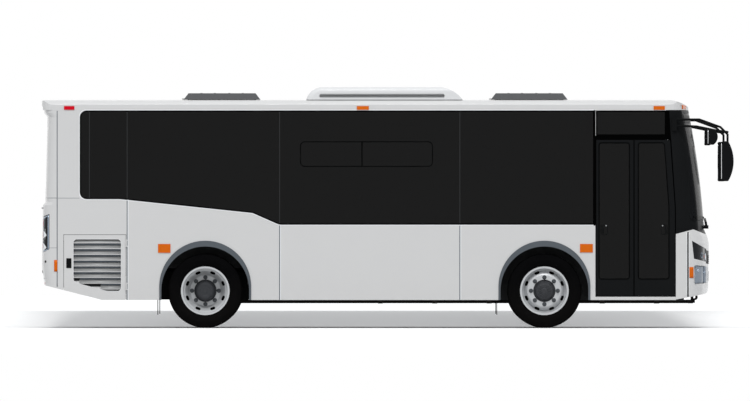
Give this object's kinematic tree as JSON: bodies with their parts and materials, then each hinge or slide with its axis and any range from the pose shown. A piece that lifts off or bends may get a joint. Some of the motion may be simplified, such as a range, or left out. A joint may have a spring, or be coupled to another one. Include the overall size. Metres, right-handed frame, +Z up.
{
  "type": "city bus",
  "caption": "Single-deck low-floor midi city bus with one double-leaf entrance door, twin rear wheels, steered front axle, roof hatches and roof air conditioner.",
  "frame": {"origin": "on the ground, in the middle of the overall length and width, mirrors included", "axes": "+X to the front of the bus, +Y to its left side, +Z up"},
  "size_m": [8.662, 2.86, 3.0143],
  "materials": {
    "white_paint": "gloss",
    "roof_paint": "satin",
    "black_paint": "gloss",
    "chassis_paint": "matt",
    "tinted_glass": "gloss",
    "rim_paint": "satin",
    "tyre_rubber": "matt",
    "black_rubber": "matt",
    "cast_steel": "satin",
    "zinc_steel": "satin",
    "engine_grey": "matt",
    "floor_vinyl": "matt",
    "grey_plastic": "matt",
    "trim_grey": "satin",
    "seat_fabric": "matt",
    "rail_yellow": "gloss",
    "clear_lens": "gloss",
    "red_lens": "gloss",
    "amber_lens": "gloss",
    "grey_moulding": "satin"
  },
  "bodies": {
    "body": {"chassis_frame": "chassis_paint", "cabin_floor": "floor_vinyl", "side_wall_right": "white_paint", "side_wall_left": "white_paint", "roof_shell": "roof_paint", "front_mask": "white_paint", "front_frame": "black_paint", "rear_shell": "white_paint", "windscreen": "tinted_glass", "side_glass_right": "tinted_glass", "side_glass_left": "tinted_glass", "rear_window": "tinted_glass", "headlamps": "clear_lens", "tail_lamps": "red_lens", "amber_lamps": "amber_lens", "red_lamps": "red_lens", "roof_air_conditioner": "roof_paint", "front_axle": "cast_steel", "rear_axle": "cast_steel", "air_springs": "black_rubber", "engine_block": "engine_grey", "door_header": "grey_plastic", "seats": "seat_fabric", "driver_seat": "seat_fabric", "dashboard": "grey_plastic", "steering_wheel": "black_rubber", "grab_rails": "rail_yellow", "mirrors": "grey_plastic", "wipers": "black_paint", "wheel_arch_trims": "trim_grey", "mud_flaps": "black_rubber"},
    "knuckle_left": {"knuckle_left": "cast_steel"},
    "knuckle_right": {"knuckle_right": "cast_steel"},
    "tie_rod": {"tie_rod": "zinc_steel"},
    "wheel_front_left": {"tyre_front_left": "tyre_rubber", "rim_front_left": "rim_paint", "hub_front_left": "cast_steel"},
    "wheel_front_right": {"tyre_front_right": "tyre_rubber", "rim_front_right": "rim_paint", "hub_front_right": "cast_steel"},
    "wheels_rear_left": {"tyres_rear_left": "tyre_rubber", "rims_rear_left": "rim_paint", "hub_rear_left": "cast_steel"},
    "wheels_rear_right": {"tyres_rear_right": "tyre_rubber", "rims_rear_right": "rim_paint", "hub_rear_right": "cast_steel"},
    "arm_rear": {"door_arm_rear": "zinc_steel"},
    "arm_front": {"door_arm_front": "zinc_steel"},
    "door_rear": {"door_leaf_rear": "black_paint", "door_glass_rear": "tinted_glass"},
    "door_front": {"door_leaf_front": "black_paint", "door_glass_front": "tinted_glass"},
    "engine_side_door": {"engine_side_door": "white_paint"},
    "engine_hatch": {"engine_hatch": "white_paint"},
    "roof_hatch_rear": {"roof_hatch_rear": "grey_moulding"},
    "roof_hatch_front": {"roof_hatch_front": "grey_moulding"}
  },
  "joints": [
    {"name": "steer_left", "type": "hinge", "parent": "body", "child": "knuckle_left", "pos_m": [1.969, 0.9, 0.465], "axis": [0, 0, 1], "range_deg": [-42, 42]},
    {"name": "steer_right", "type": "hinge", "parent": "body", "child": "knuckle_right", "pos_m": [1.969, -0.9, 0.465], "axis": [0, 0, 1], "range_deg": [-42, 42]},
    {"name": "tie_rod_pivot", "type": "hinge", "parent": "knuckle_left", "child": "tie_rod", "pos_m": [1.739, 0.9, 0.16], "axis": [0, 0, 1], "range_deg": [-42, 42]},
    {"name": "spin_front_left", "type": "hinge", "parent": "knuckle_left", "child": "wheel_front_left", "pos_m": [1.969, 1.062, 0.465], "axis": [0, 1, 0], "continuous": true},
    {"name": "spin_front_right", "type": "hinge", "parent": "knuckle_right", "child": "wheel_front_right", "pos_m": [1.969, -1.062, 0.465], "axis": [0, 1, 0], "continuous": true},
    {"name": "spin_rear_left", "type": "hinge", "parent": "body", "child": "wheels_rear_left", "pos_m": [-2.271, 0.917, 0.465], "axis": [0, 1, 0], "continuous": true},
    {"name": "spin_rear_right", "type": "hinge", "parent": "body", "child": "wheels_rear_right", "pos_m": [-2.271, -0.917, 0.465], "axis": [0, 1, 0], "continuous": true},
    {"name": "door_rear_arm", "type": "hinge", "parent": "body", "child": "arm_rear", "pos_m": [2.691, -1.164, 2.367], "axis": [0, 0, 1], "range_deg": [0, 80]},
    {"name": "door_rear_fold", "type": "hinge", "parent": "arm_rear", "child": "door_rear", "pos_m": [2.876, -1.164, 2.367], "axis": [0, 0, 1], "range_deg": [-160, 0]},
    {"name": "door_front_arm", "type": "hinge", "parent": "body", "child": "arm_front", "pos_m": [3.527, -1.164, 2.367], "axis": [0, 0, 1], "range_deg": [-80, 0]},
    {"name": "door_front_fold", "type": "hinge", "parent": "arm_front", "child": "door_front", "pos_m": [3.342, -1.164, 2.367], "axis": [0, 0, 1], "range_deg": [0, 160]},
    {"name": "engine_side_door_hinge", "type": "hinge", "parent": "body", "child": "engine_side_door", "pos_m": [-3.259, -1.232, 0.79], "axis": [0, 0, 1], "range_deg": [0, 100]},
    {"name": "engine_hatch_hinge", "type": "hinge", "parent": "body", "child": "engine_hatch", "pos_m": [-4.321, 0, 1.5], "axis": [0, 1, 0], "range_deg": [0, 75]},
    {"name": "roof_hatch_rear_hinge", "type": "hinge", "parent": "body", "child": "roof_hatch_rear", "pos_m": [-2.563, 0, 2.87], "axis": [0, -1, 0], "range_deg": [0, 70]},
    {"name": "roof_hatch_front_hinge", "type": "hinge", "parent": "body", "child": "roof_hatch_front", "pos_m": [1.293, 0, 2.87], "axis": [0, -1, 0], "range_deg": [0, 70]}
  ],
  "couplings": [
    {"joint": "steer_right", "follows": "steer_left", "ratio": 1},
    {"joint": "tie_rod_pivot", "follows": "steer_left", "ratio": -1},
    {"joint": "door_rear_arm", "follows": "door_rear_fold", "ratio": -0.5},
    {"joint": "door_front_arm", "follows": "door_front_fold", "ratio": -0.5}
  ]
}
